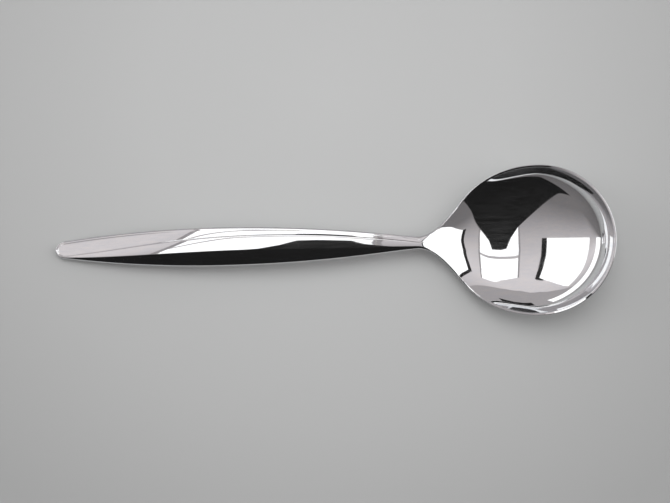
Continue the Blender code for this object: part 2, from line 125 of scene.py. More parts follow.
# Side view of the bowl: a dish, and a rim that curls up round it
BOWL_DEEPEST_FROM_NECK = 17.5 * MM
BOWL_WALL = 1.2 * MM
DISH_TIP_HEIGHT = 13.5 * MM
DISH_TIP_ANGLE = math.radians(37.7)
DISH_TIP_REACH = 13.0 * MM
LIP_EDGE = 0.9 * MM
NECK_SLOPE_REACH = 6.0 * MM
REAR_FLOOR_REACH = 12.0 * MM
FORE_FLOOR_REACH = 7.0 * MM
EDGE_LOW_FROM_NECK = 10.5 * MM
EDGE_LOW_HEIGHT = 3.4 * MM
EDGE_NECK_REACH = 5.6 * MM
EDGE_DIP_REACH = 5.6 * MM
EDGE_RISE_REACH = 18.5 * MM
EDGE_TIP_REACH = 13.5 * MM
EDGE_TIP_DROP = 3.6 * MM
WALL_BLEND = 10.0 * MM
CURL_HEIGHT = 2.68 * MM
CURL_WIDTH = 5.0 * MM
CURL_POWER = 2.3
CURL_FROM_NECK = 8.5 * MM
CURL_REACH = 18.0 * MM
FLOOR_Z = BOWL_WALL - REST_DEPTH

# Fineness of the skins
BUTT_STEPS = 20
HANDLE_STEPS = 220
BRAZE_STEPS = 2
SHANK_STEPS = 30
FLARE_STEPS = 60
BOWL_STEPS = 150
UPPER_STEPS = 20
GROOVE_STEPS = 4
MIDDLE_STEPS = 20
ARRIS_STEPS = 4
LOWER_STEPS = 24
TOP_STEPS = UPPER_STEPS + GROOVE_STEPS + MIDDLE_STEPS + ARRIS_STEPS + LOWER_STEPS
LIP_STEPS = 5
UNDER_STEPS = 56
EDGE_GATHER = 0.88
MARK_ROOM = 0.4
CURVE_SAMPLES = 4000
SMOOTH_REACH = 1.5 * MM
SMOOTH_SPAN = 3.0
SMOOTH_GRID = 0.05 * MM
TINY = 1e-6

# Polished metals
STEEL_TONES = ((0.77, 0.765, 0.765), (0.82, 0.81, 0.80))
STEEL_ROUGHNESS = (0.015, 0.05)
BRAZE_TONES = ((0.77, 0.76, 0.735), (0.82, 0.81, 0.785))
BRAZE_ROUGHNESS = (0.03, 0.08)
NOISE_LOW = 0.3
NOISE_HIGH = 0.7
SMEAR_SCALE = (90.0, 260.0, 260.0)
SMEAR_DETAIL = 4.0
LINE_SCALE = (150.0, 1600.0, 1600.0)
LINE_DETAIL = 3.0
HAZE = (0.05, 0.8)
HAZE_ROUGHNESS = 0.4
HAZE_TINT = (0.93, 0.96, 1.0, 1.0)
WAVE_SCALE = (120.0, 420.0, 420.0)
WAVE_DETAIL = 1.0
WAVE_STRENGTH = 1.0
WAVE_HEIGHT = 0.0006 * MM

# Camera, with the photograph's frame and the two ends of the spoon in it in pixels
IMAGE_WIDTH = 670
IMAGE_HEIGHT = 503
PHOTO_BUTT = (55.5, 250.3)
PHOTO_TIP = (617.0, 238.5)
CAMERA_DISTANCE = 0.40
SENSOR_WIDTH = 36.0

# Studio: directions are sideways runs over height, seen from the spoon
DOME_RADIUS = 6.0
FRAME_NEARER = 0.9
LOW_NEARER = 0.5
WALL_FARTHER = 1.02
PANEL_STRENGTH = 1.6
LOW_LIGHT_STRENGTH = 1.6
TRANSOM_STRENGTH = 0.55
FRAME_STRENGTH = 0.35
BLACK_STRENGTH = 0.012
LOW_WALL_STRENGTH = 0.42
CENTRE_FRAME = 0.025
LEFT_BAR = 0.10
RIGHT_BAR = 0.08
TRANSOM_WIDTH = 0.026
WALL_TINT = (1.03, 0.975, 0.99)
CENTRE_BUTT_EDGE = ((-0.37, -0.14), (-0.375, 0.10), (-0.36, 0.19), (-0.35, 0.28), (-0.335, 0.375))
CENTRE_TIP_EDGE = ((0.18, -0.14), (0.181, 0.05), (0.205, 0.22), (0.24, 0.35), (0.38, 0.585))
CENTRE_SILL = ((-0.22, 0.39), (-0.05, 0.42), (0.12, 0.485), (0.30, 0.555))
CENTRE_PANEL = CENTRE_BUTT_EDGE + CENTRE_SILL + CENTRE_TIP_EDGE[::-1]
TRANSOM = (
    (-0.37, 0.146), (-0.315, 0.155), (-0.215, 0.160), (-0.07, 0.166),
    (0.08, 0.166), (0.14, 0.155), (0.21, 0.135),
)
RIGHT_BAR_EDGE = ((-0.795, -0.015), (-0.785, 0.17), (-0.748, 0.31), (-0.698, 0.41))
RIGHT_PANEL = RIGHT_BAR_EDGE + (
    (-0.92, 0.50), (-1.15, 0.61), (-1.72, 1.10), (-1.70, 0.60), (-1.575, 0.27), (-1.58, -0.015),
)
RIGHT_SILL = ((-0.63, 0.40), (-0.698, 0.41), (-0.775, 0.44), (-0.775, 0.455), (-0.63, 0.42))
LEFT_BAR_EDGE = ((0.585, -0.21), (0.615, -0.03), (0.575, 0.15), (0.625, 0.39), (0.705, 0.59))
LEFT_PANEL = LEFT_BAR_EDGE + (
    (1.26, 0.99), (30.0, 24.0), (30.0, -12.0), (2.42, -0.77), (1.16, -0.42),
)
LEFT_SILL = (
    (0.645, 0.565), (0.705, 0.59), (1.26, 0.99), (1.45, 1.13),
    (1.45, 1.23), (1.26, 1.08), (0.685, 0.635), (0.645, 0.615),
)
LOW_WALL = (
    (-6.0, 4.2), (-1.75, 1.25), (-1.11, 0.76), (-0.74, 0.60), (-0.55, 0.60), (-0.37, 0.53), (-0.07, 0.61),
    (0.06, 0.70), (0.40, 0.92), (0.69, 1.10), (1.05, 1.32), (1.6, 1.75), (6.0, 5.0),
    (6.0, 30.0), (-6.0, 30.0),
)
LOW_LIGHT = (
    (-4.0, -0.05), (-3.7, 1.4), (-2.8, 2.8), (-2.0, 3.4),
    (-15.0, 26.0), (-22.0, 20.0), (-28.0, 10.0), (-30.0, -0.4),
)
LOW_DARK = ((0.9, 3.3), (0.3, 4.9), (-0.4, 5.0), (-0.9, 4.0), (-6.0, 30.0), (6.0, 30.0))
KEY_PLACE = (0.0, 0.8, 1.7)
KEY_SIZE = 1.2
KEY_POWER = 10.0
CARD_HEIGHT = 0.30
CARD = (
    (-0.017, 0.023), (0.006, 0.027), (0.043, 0.0265), (0.054, 0.000), (0.575, -0.547), (0.8, -2.0),
    (-0.8, -2.0), (-0.45, -0.27), (-0.066, -0.035), (-0.036, -0.006),
)
ROOM_TONES = (
    (-8.0, 0.16), (-1.0, 0.19), (-0.45, 0.20), (-0.30, 0.29), (-0.17, 0.41), (0.0, 0.565),
    (0.24, 0.73), (0.40, 0.78), (0.60, 0.75), (1.0, 0.68), (2.0, 0.52), (8.0, 0.42),
)
BACKDROP_TONE = (0.36, 0.36, 0.36, 1.0)

# Paper
PAPER_HALF_SIZE = 1.5
# Painted light in the paper's colour: the tones below are lighter round a centre and darker outwards,
# standing in for light falling off across the paper
PAPER_LIGHT_POOL_CENTRE = (0.0, 0.038, 0.0)
PAPER_LIGHT_POOL_REACH = 0.2
PAPER_LIGHT_POOL_TONES = ((0.0, 0.36), (0.36, 0.41), (0.58, 0.505), (0.77, 0.57), (1.0, 0.595))
PAPER_TINT = (0.988, 1.008, 1.002)
PAPER_GRAIN = 3000.0
PAPER_ROUGHNESS = 0.9
PAPER_BUMP = 0.05
PAPER_BUMP_HEIGHT = 0.02 * MM


# Curves

def bezier(points, t):
    """Points of a cubic curve at the values t between 0 and 1, as two arrays."""
    s = 1.0 - t
    weights = (s ** 3, 3.0 * s * s * t, 3.0 * s * t * t, t ** 3)
    return tuple(sum(w * p[axis] for w, p in zip(weights, points)) for axis in (0, 1))


def curve_at(pieces, x):
    """Second coordinate, where the first equals x, of a row of cubic curves that follow each other."""
    t = np.linspace(0.0, 1.0, CURVE_SAMPLES)
    runs = [bezier(points, t) for points in pieces]
    along = np.concatenate([run[0] for run in runs])
    height = np.concatenate([run[1] for run in runs])
    return np.interp(x, along, height)


def smooth_curve_at(pieces, x):
    """As curve_at, with the change of curvature where two curves meet spread over a short stretch."""
    first = pieces[0][0][0]
    last = pieces[-1][3][0]
    grid = np.arange(first, last, SMOOTH_GRID)
    heights = curve_at(pieces, grid)
    reach = int(SMOOTH_SPAN * SMOOTH_REACH / SMOOTH_GRID)
    offsets = np.arange(-reach, reach + 1) * SMOOTH_GRID
    kernel = np.exp(-0.5 * (offsets / SMOOTH_REACH) ** 2)
    kernel /= kernel.sum()
    before = 2.0 * heights[0] - heights[reach:0:-1]
    after = 2.0 * heights[-1] - heights[-2:-reach - 2:-1]
    padded = np.concatenate([before, heights, after])
    spread = np.convolve(padded, kernel, mode="valid") - heights
    away_from_neck = ease((grid - first) / (SMOOTH_SPAN * SMOOTH_REACH))
    return np.interp(x, grid, heights + spread * away_from_neck)


def ease(share):
    """Smooth step from 0 to 1."""
    share = np.clip(share, 0.0, 1.0)
    return share * share * (3.0 - 2.0 * share)


# Plan outline, with x measured from the neck

WIDEST_X = WIDEST_FROM_BUTT - HANDLE_LENGTH
CREST_X = -ARCH_CREST_FROM_NECK


def butt_half_width(x):
    """Half width of the handle between butt and widest place, without the rounded end."""
    share = 1.0 - (x + HANDLE_LENGTH) / WIDEST_FROM_BUTT
    return HANDLE_HALF_WIDTH - (HANDLE_HALF_WIDTH - BUTT_HALF_WIDTH) * share * share


def handle_half_width(x):
    """Half width of the handle and shank up to the neck."""
    span = -WIDEST_X
    fore = (
        (WIDEST_X, HANDLE_HALF_WIDTH),
        (WIDEST_X + FORE_FULLNESS * span, HANDLE_HALF_WIDTH),
        (-NECK_FULLNESS * span, NECK_SWELL * NECK_HALF_WIDTH),
        (0.0, NECK_HALF_WIDTH),
    )
    return np.where(x <= WIDEST_X, butt_half_width(x), curve_at([fore], x))


def bowl_outline_points(angles):
    """Bowl outline at angles from its widest place: -90 degrees is the rear, 90 the tip."""
    reach = np.where(angles > 0.0, BOWL_LENGTH - BOWL_WIDEST_FROM_NECK, BOWL_REAR_REACH)
    return BOWL_WIDEST_FROM_NECK + reach * np.sin(angles), BOWL_HALF_WIDTH * np.cos(angles)


def flare_curve():
    """Outline from the neck out to the shoulder of the bowl."""
    end_x, end_half = (float(v) for v in bowl_outline_points(np.array(-SHOULDER_ANGLE)))
    slope = BOWL_HALF_WIDTH * math.tan(SHOULDER_ANGLE) / BOWL_REAR_REACH
    back = FLARE_BOWL_FULLNESS * end_x
    return (
        (0.0, NECK_HALF_WIDTH),
        (FLARE_NECK_FULLNESS * end_x, NECK_HALF_WIDTH),
        (end_x - back, end_half - back * slope),
        (end_x, end_half),
    )


def outline():
    """Plan outline on the +Y side from butt to tip: x, half width and the inward direction."""
    angles = np.linspace(0.0, 0.5 * math.pi, BUTT_STEPS, endpoint=False)
    butt_x = -HANDLE_LENGTH + BUTT_ROUND * (1.0 - np.cos(angles))
    seams = [x - NECK_X for x in BRAZE_BAND_X]
    straight_x = np.concatenate([
        np.linspace(-HANDLE_LENGTH + BUTT_ROUND, seams[0], HANDLE_STEPS, endpoint=False),
        np.linspace(seams[0], seams[1], BRAZE_STEPS, endpoint=False),
        np.linspace(seams[1], 0.0, SHANK_STEPS, endpoint=False),
    ])
    flare_x, flare_half = bezier(flare_curve(), np.linspace(0.0, 1.0, FLARE_STEPS, endpoint=False))
    bowl_x, bowl_half = bowl_outline_points(np.linspace(-SHOULDER_ANGLE, 0.5 * math.pi, BOWL_STEPS))
    x = np.concatenate([butt_x, straight_x, flare_x, bowl_x])
    half = np.concatenate([
        butt_half_width(butt_x) * np.sin(angles), handle_half_width(straight_x), flare_half, bowl_half,
    ])
    half[-1] = 0.0
    along = np.stack([np.gradient(x), np.gradient(half)])
    along /= np.linalg.norm(along, axis=0)
    inward = np.stack([along[1], -along[0]])
    inward[:, 0] = (1.0, 0.0)
    inward[:, -1] = (-1.0, 0.0)
    return x, half, inward


# Side profile, with x measured from the neck

def arch_fall(x):
    """Fall of the handle's arch from its crest: round at the crest, straighter away from it."""
    return ARCH_SPREAD * ARCH_SPREAD / ARCH_RADIUS * (np.hypot(1.0, (x - CREST_X) / ARCH_SPREAD) - 1.0)


def arch_height(x):
    """Height of the crease on top of the handle."""
    return BUTT_THICKNESS - REST_DEPTH + arch_fall(BUTT_REST_LENGTH - HANDLE_LENGTH) - arch_fall(x)


def handle_thickness(x):
    """Thickness of the handle under its crease."""
    from_butt = ease((x + HANDLE_LENGTH) / WIDEST_FROM_BUTT)
    butt = BUTT_THICKNESS + (HANDLE_THICKNESS - BUTT_THICKNESS) * from_butt
    fore = HANDLE_THICKNESS + (NECK_THICKNESS - HANDLE_THICKNESS) * ease((x - WIDEST_X) / -WIDEST_X)
    return np.where(x <= WIDEST_X, butt, fore)


NECK_Z = float(arch_height(0.0))
NECK_SLOPE = CREST_X / (ARCH_RADIUS * math.hypot(1.0, CREST_X / ARCH_SPREAD))


def floor_curves(end_x, neck_z, floor_z, end_z):
    """Lengthwise profile of the bowl from the neck down to the deepest place and up to the tip."""
    deepest = BOWL_DEEPEST_FROM_NECK
    rear = (
        (0.0, neck_z),
        (NECK_SLOPE_REACH, neck_z + NECK_SLOPE * NECK_SLOPE_REACH),
        (deepest - REAR_FLOOR_REACH, floor_z),
        (deepest, floor_z),
    )
    fore = (
        (deepest, floor_z),
        (deepest + FORE_FLOOR_REACH, floor_z),
        (end_x - DISH_TIP_REACH, end_z - DISH_TIP_REACH * math.tan(DISH_TIP_ANGLE)),
        (end_x, end_z),
    )
    return rear, fore


INNER_TIP_X = BOWL_LENGTH - LIP_WIDTH
INNER_FLOOR = floor_curves(INNER_TIP_X, NECK_Z, FLOOR_Z, DISH_TIP_HEIGHT)
OUTER_FLOOR = floor_curves(
    BOWL_LENGTH, NECK_Z - NECK_THICKNESS, FLOOR_Z - BOWL_WALL, DISH_TIP_HEIGHT - LIP_EDGE
)
EDGE_LINE = (
    (
        (0.0, NECK_Z),
        (EDGE_NECK_REACH, NECK_Z + NECK_SLOPE * EDGE_NECK_REACH),
        (EDGE_LOW_FROM_NECK - EDGE_DIP_REACH, EDGE_LOW_HEIGHT),
        (EDGE_LOW_FROM_NECK, EDGE_LOW_HEIGHT),
    ),
    (
        (EDGE_LOW_FROM_NECK, EDGE_LOW_HEIGHT),
        (EDGE_LOW_FROM_NECK + EDGE_RISE_REACH, EDGE_LOW_HEIGHT),
        (INNER_TIP_X - EDGE_TIP_REACH, DISH_TIP_HEIGHT - EDGE_TIP_DROP),
        (INNER_TIP_X, DISH_TIP_HEIGHT),
    ),
)


# Cross sections: every array has one row for each station and one column for each point across

def arc_bulge(sag, half):
    """Square of the sine of a round section's half angle, at most that of a half circle."""
    half = np.maximum(half, TINY)
    sag = np.maximum(sag, TINY * TINY)
    return np.where(sag >= half, 1.0, (2.0 * sag * half / (half * half + sag * sag)) ** 2)


def arc_shares(bulge, steps):
    """Places across a round section at equal angles, from 1 to -1 of its half width."""
    limit = np.arcsin(np.sqrt(np.clip(bulge, TINY, 1.0)))[:, None]
    places = np.linspace(1.0, -1.0, steps + 1)[None, :]
    return np.sin(limit * places) / np.sin(limit)


def edge_shares(steps):
    """Places across the spoon from 1 to -1 of its half width, closer together near the edges."""
    limit = 0.5 * math.pi * EDGE_GATHER
    return np.sin(np.linspace(limit, -limit, steps + 1)) / math.sin(limit)


def arc_rise(bulge, share):
    """Rise of a round section, as a share of its sag, at a share of its half width."""
    bulge = np.clip(bulge, TINY, 1.0)[:, None]
    inner = np.sqrt(np.clip(1.0 - bulge * share * share, 0.0, 1.0))
    return (1.0 - inner) / (1.0 - np.sqrt(1.0 - bulge))


def under_rise(x, bulge, share):
    """Rise across the underside, as a share of its sag: round at the neck, then a shallow bend."""
    blend = ease(x / WALL_BLEND)[:, None]
    return arc_rise(bulge, share) * (1.0 - blend) + share * share * blend


def edge_distance(x, y, edge_x, edge_y):
    """Distance in plan from each point to the edge line on its own side."""
    points = np.stack([x.ravel(), np.abs(y).ravel()], axis=1)
    corners = np.stack([edge_x, edge_y], axis=1)
    nearest = np.full(len(points), np.inf)
    for start, stop in zip(corners, corners[1:]):
        along = stop - start
        place = np.clip((points - start) @ along / max(along @ along, TINY * TINY), 0.0, 1.0)
        nearest = np.minimum(nearest, np.linalg.norm(points - start - place[:, None] * along, axis=1))
    return nearest.reshape(x.shape)


def curl_rise(x, distance):
    """Rise of the rim above the dish at a distance inside its edge."""
    height = CURL_HEIGHT * ease((x - CURL_FROM_NECK) / CURL_REACH)
    return height * np.clip(1.0 - distance / CURL_WIDTH, 0.0, 1.0) ** CURL_POWER


def facet_lines(x, half):
    """Places of the crease and the arris across the handle, and their runs out to the edges of the bowl."""
    place = (x + HANDLE_LENGTH) / HANDLE_LENGTH
    past = ease(x / CREASE_RUN)
    crease = curve_at([CREASE_BUTT, CREASE_FORE], place)
    arris = curve_at([ARRIS_BUTT, ARRIS_FORE], place)
    return half * (crease + (1.0 - crease) * past), half * (arris - (1.0 + arris) * past)


def crowned_drop(distance, width, tilt, turn):
    """Fall of a facet that starts at a tilt and turns further down across its width."""
    return np.tan(tilt) * distance + turn * distance * distance / (2.0 * np.maximum(width, TINY))


def facet_drop(x, half, y):
    """Fall from the arch across the top: three crowned facets with a soft arris, fading out in the bowl."""
    crease, arris = (line[:, None] for line in facet_lines(x, half))
    width = half[:, None]
    nearness = 1.0 - ease((x + HANDLE_LENGTH - TWIST_FROM_BUTT) / TWIST_REACH)[:, None]
    upper_turn = UPPER_TURN * (1.0 - BUTT_CROWN_LOSS * nearness)
    upper_turn = upper_turn + NECK_TURN * ease(1.0 + x / FACET_FADE)[:, None]
    upper = crowned_drop(y - crease, width - crease, UPPER_TILT + BUTT_TWIST * nearness, upper_turn)
    middle_tilt = MIDDLE_TILT * (1.0 - BUTT_CREASE_LOSS * nearness) - BUTT_TWIST * nearness
    middle = crowned_drop(crease - y, crease - arris, middle_tilt, MIDDLE_TURN)
    lower = (
        crowned_drop(crease - arris, crease - arris, middle_tilt, MIDDLE_TURN)
        + crowned_drop(arris - y, width + arris, LOWER_TILT, LOWER_TURN)
    )
    bend = math.tan(LOWER_TILT) - np.tan(middle_tilt) - MIDDLE_TURN
    near = np.clip(ARRIS_HALF - np.abs(y - arris), 0.0, None)
    drop = np.where(y >= crease, upper, np.where(y >= arris, middle, lower))
    return (drop + bend * near * near / (4.0 * ARRIS_HALF)) * ease(1.0 - x / FLANK_RUN)[:, None]


def groove_drop(x, half, y):
    """Depth of the fine groove along the crease, which fades out past the neck."""
    crease = facet_lines(x, half)[0][:, None]
    depth = GROOVE_DEPTH * ease((GROOVE_END - x) / GROOVE_FADE)[:, None]
    return depth * ease(1.0 - np.abs(y - crease) / GROOVE_HALF)


def facet_heights(x, half, y):
    """Height of the handle's top, with its facets and the groove."""
    return arch_height(x)[:, None] - facet_drop(x, half, y) - groove_drop(x, half, y)


def facet_places(x, half, edge_half):
    """Places across the handle's top from +Y to -Y, gathered at the crease and the arris."""
    crease, arris = facet_lines(x, half)
    gaps = (crease - arris, edge_half + arris, edge_half - crease)
    room = MARK_ROOM * np.maximum(np.minimum.reduce(gaps), 0.0)
    groove = np.minimum(GROOVE_HALF, room)
    bend = np.minimum(ARRIS_HALF, room)
    marks = [edge_half, crease + groove, crease - groove, arris + bend, arris - bend, -edge_half]
    steps = [UPPER_STEPS, GROOVE_STEPS, MIDDLE_STEPS, ARRIS_STEPS, LOWER_STEPS]
    columns = []
    for start, stop, count in zip(marks, marks[1:], steps):
        columns += [start + (stop - start) * i / count for i in range(count)]
    return np.stack(columns + [-edge_half], axis=1)


def lip_columns(x, half, inward, edge_height, lip, corner, slope):
    """Lip down one side: a narrow bevel that rises outwards, then a rounded corner to the side face."""
    width = lip - corner
    rows = [(lip - place * width, place * width * slope) for place in BEVEL_PLACES]
    for angle in np.linspace(0.0, 0.5 * math.pi, LIP_STEPS + 1):
        rise = width * slope - corner * (1.0 - math.cos(angle))
        rows.append((corner * (1.0 - math.sin(angle)), rise))
    columns = []
    for inset, rise in rows:
        side = np.maximum(half + inward[1] * inset, 0.0)
        columns.append(np.stack([x + inward[0] * inset, side, edge_height(side) + rise], axis=1))
    return np.stack(columns, axis=1)


def handle_sections(x, half, inward):
    """Top, two lips and underside of the handle and shank."""
    rounding = ease(1.0 + x / FACET_FADE)
    inset = 2.0 * EDGE_ROUND * (1.0 - rounding) + SHOULDER_LIP * rounding
    corner = EDGE_ROUND * (1.0 - rounding) + SHOULDER_ROUND * rounding
    top_x = x + inward[0] * inset
    edge_half = np.maximum(half + inward[1] * inset, 0.0)
    full = np.maximum(half, edge_half)
    even = edge_half[:, None] * edge_shares(TOP_STEPS)[None, :]
    rounding = rounding[:, None]
    top_y = facet_places(top_x, full, edge_half) * (1.0 - rounding) + even * rounding
    across_x = np.repeat(top_x[:, None], TOP_STEPS + 1, 1)
    top = np.stack([across_x, top_y, facet_heights(top_x, full, top_y)], axis=2)

    def edge(sign):
        return lambda side: facet_heights(x, full, sign * side[:, None])[:, 0]

    lips = [lip_columns(x, half, inward, edge(sign), inset, corner, 0.0) for sign in (1.0, -1.0)]
    thickness = handle_thickness(x)
    sag = thickness - LIP_EDGE
    bulge = arc_bulge(sag, half)
    share = arc_shares(bulge, UNDER_STEPS)
    crown = (UNDERSIDE_CROWN * half / HANDLE_HALF_WIDTH)[:, None] * share * share
    under_y = half[:, None] * share
    heel = np.clip((np.abs(under_y) - half[:, None] + HEEL_ROUND) / HEEL_ROUND, 0.0, 1.0)
    crown = crown + HEEL_ROUND * (1.0 - np.sqrt(1.0 - heel * heel))
    rise = crown * (1.0 - rounding) + sag[:, None] * arc_rise(bulge, share) * rounding
    base = arch_height(x) - thickness
    under_x = np.repeat(x[:, None], UNDER_STEPS + 1, 1)
    under = np.stack([under_x, under_y, base[:, None] + rise], axis=2)
    return top, lips, under


def bowl_sections(x, half, inward):
    """Hollow top, two lips and round underside of the bowl."""
    widening = ease((x - LIP_FROM_NECK) / LIP_REACH)
    lip = SHOULDER_LIP + (LIP_WIDTH - SHOULDER_LIP) * widening
    corner = SHOULDER_ROUND + (LIP_ROUND - SHOULDER_ROUND) * widening
    top_x = x + inward[0] * lip
    inner_half = np.maximum(half + inward[1] * lip, 0.0)
    edge = smooth_curve_at(EDGE_LINE, np.maximum(top_x, 0.0))
    floor = smooth_curve_at(INNER_FLOOR, np.maximum(top_x, 0.0))
    sag = np.maximum(edge - floor, 0.0)
    share = edge_shares(TOP_STEPS)[None, :]
    top_y = inner_half[:, None] * share
    across_x = np.repeat(top_x[:, None], TOP_STEPS + 1, 1)
    curl = curl_rise(across_x, edge_distance(across_x, top_y, top_x, inner_half))
    flank = facet_drop(x, half, top_y) + groove_drop(x, half, top_y)
    top_z = floor[:, None] + sag[:, None] * share * share + curl - flank
    top = np.stack([across_x, top_y, top_z], axis=2)
    rim = edge + curl_rise(top_x, 0.0)

    def rim_height(sign):
        return lambda side: rim - facet_drop(x, half, sign * side[:, None])[:, 0]

    slope = math.tan(LIP_TILT) * widening
    lips = [lip_columns(x, half, inward, rim_height(sign), lip, corner, slope) for sign in (1.0, -1.0)]
    base = smooth_curve_at(OUTER_FLOOR, x)
    outer_sag = np.maximum(edge - LIP_EDGE - base, 0.0)
    outer_share = edge_shares(UNDER_STEPS)[None, :]
    under_y = half[:, None] * outer_share
    under_x = np.repeat(x[:, None], UNDER_STEPS + 1, 1)
    outer_curl = curl_rise(top_x[:, None], edge_distance(under_x, under_y, x, half))
    outer_rise = outer_sag[:, None] * under_rise(x, arc_bulge(outer_sag, half), outer_share)
    under = np.stack([under_x, under_y, base[:, None] + outer_rise + outer_curl], axis=2)
    return top, lips, under


def closed_rings(top, lips, under):
    """Rings of points: top from +Y to -Y, lip down the -Y side, underside back, lip up the +Y side."""
    mirrored = lips[1] * np.array([1.0, -1.0, 1.0])
    return np.concatenate([top, mirrored, under[:, ::-1], lips[0][:, ::-1]], axis=1)


def spoon_rings():
    """All rings of the spoon in the frame's own place, and the x of each station."""
    x, half, inward = outline()
    handle = x < 0.0
    rings = np.concatenate([
        closed_rings(*handle_sections(x[handle], half[handle], inward[:, handle])),
        closed_rings(*bowl_sections(x[~handle], half[~handle], inward[:, ~handle])),
    ])
    rings[:, :, 0] += NECK_X
    rings[:, :, 2] = np.maximum(rings[:, :, 2], 0.0)
    return rings, x + NECK_X


# Pieces

def skin_object(name, rings, cap_first, cap_last):
    """Smooth closed mesh through a row of rings."""
    count = rings.shape[1]
    rows = rings.shape[0]
    index = np.arange(rows * count).reshape(rows, count)
    following = np.roll(index, -1, axis=1)
    faces = np.stack([index[:-1], following[:-1], following[1:], index[1:]], axis=2).reshape(-1, 4)
    bm = bmesh.new()
    verts = [bm.verts.new(point) for point in rings.reshape(-1, 3).tolist()]
    for face in faces.tolist():
        bm.faces.new([verts[i] for i in face])
    caps = []
    if cap_first:
        caps.append(bm.faces.new([verts[i] for i in index[0].tolist()]))
    if cap_last:
        caps.append(bm.faces.new([verts[i] for i in index[-1].tolist()]))
    for cap in caps:
        for edge in cap.edges:
            edge.smooth = False
    bmesh.ops.remove_doubles(bm, verts=bm.verts, dist=TINY)
    bmesh.ops.dissolve_degenerate(bm, edges=bm.edges, dist=TINY)
    bmesh.ops.recalc_face_normals(bm, faces=bm.faces)
    for face in bm.faces:
        face.smooth = True
    mesh = bpy.data.meshes.new(name)
    bm.to_mesh(mesh)
    bm.free()
    piece = bpy.data.objects.new(name, mesh)
    bpy.context.scene.collection.objects.link(piece)
    return piece


def tone_ramp(nodes, stops):
    """Colour ramp through the given places and colours."""
    ramp = nodes.new("ShaderNodeValToRGB")
    elements = ramp.color_ramp.elements
    while len(elements) < len(stops):
        elements.new(0.5)
    for element, (place, colour) in zip(elements, stops):
        element.position = place
        element.color = (*colour, 1.0)
    return ramp


def metal_noise(material, stretch, detail):
    """Noise through the body of a piece, drawn out by the three given scales."""
    nodes = material.node_tree.nodes
    links = material.node_tree.links
    place = nodes.new("ShaderNodeTexCoord")
    scale = nodes.new("ShaderNodeMapping")
    scale.inputs["Scale"].default_value = stretch
    noise = nodes.new("ShaderNodeTexNoise")
    noise.inputs["Scale"].default_value = 1.0
    noise.inputs["Detail"].default_value = detail
    links.new(place.outputs["Object"], scale.inputs["Vector"])
    links.new(scale.outputs["Vector"], noise.inputs["Vector"])
    return noise.outputs["Fac"]


def ranged(material, value, low, high):
    """A noise value carried over to a range."""
    share = material.node_tree.nodes.new("ShaderNodeMapRange")
    share.inputs["From Min"].default_value = NOISE_LOW
    share.inputs["From Max"].default_value = NOISE_HIGH
    share.inputs["To Min"].default_value = low
    share.inputs["To Max"].default_value = high
    material.node_tree.links.new(value, share.inputs["Value"])
    return share.outputs["Result"]


def polished_metal(name, tones, roughness):
    """Mirror-polished metal: faint tone changes, smears, a haze of fine scratches and a slight wave."""
    material = bpy.data.materials.new(name)
    material.use_nodes = True
    nodes = material.node_tree.nodes
    links = material.node_tree.links
    shader = nodes["Principled BSDF"]
    shader.inputs["Metallic"].default_value = 1.0
    shader.inputs["Coat Roughness"].default_value = HAZE_ROUGHNESS
    shader.inputs["Coat Tint"].default_value = HAZE_TINT
    smears = metal_noise(material, SMEAR_SCALE, SMEAR_DETAIL)
    lines = metal_noise(material, LINE_SCALE, LINE_DETAIL)
    waves = metal_noise(material, WAVE_SCALE, WAVE_DETAIL)
    ramp = tone_ramp(nodes, list(zip((NOISE_LOW, NOISE_HIGH), tones)))
    bump = nodes.new("ShaderNodeBump")
    bump.inputs["Strength"].default_value = WAVE_STRENGTH
    bump.inputs["Distance"].default_value = WAVE_HEIGHT
    links.new(smears, ramp.inputs["Fac"])
    links.new(ramp.outputs["Color"], shader.inputs["Base Color"])
    links.new(ranged(material, smears, *roughness), shader.inputs["Roughness"])
    links.new(ranged(material, lines, *HAZE), shader.inputs["Coat Weight"])
    links.new(waves, bump.inputs["Height"])
    links.new(bump.outputs["Normal"], shader.inputs["Normal"])
    return material


def build_spoon():
    """Bowl, handle and braze band, each in place of its solid."""
    rings, x = spoon_rings()
    first, last = (int(np.argmin(np.abs(x - edge))) for edge in BRAZE_BAND_X)
    pieces = {
        "handle": skin_object("handle_polished", rings[:first + 1], False, True),
        "braze_ring": skin_object("braze_polished", rings[first:last + 1], True, True),
        "bowl": skin_object("bowl_polished", rings[last:], True, False),
    }
    slots = {"handle": "handle_steel", "braze_ring": "braze_silver", "bowl": "bowl_steel"}
    looks = {
        "handle": (STEEL_TONES, STEEL_ROUGHNESS),
        "braze_ring": (BRAZE_TONES, BRAZE_ROUGHNESS),
        "bowl": (STEEL_TONES, STEEL_ROUGHNESS),
    }
    for node, piece in pieces.items():
        piece.data.materials.append(polished_metal(slots[node] + "_look", *looks[node]))
        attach(piece, "root")
        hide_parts(node)


# Stage

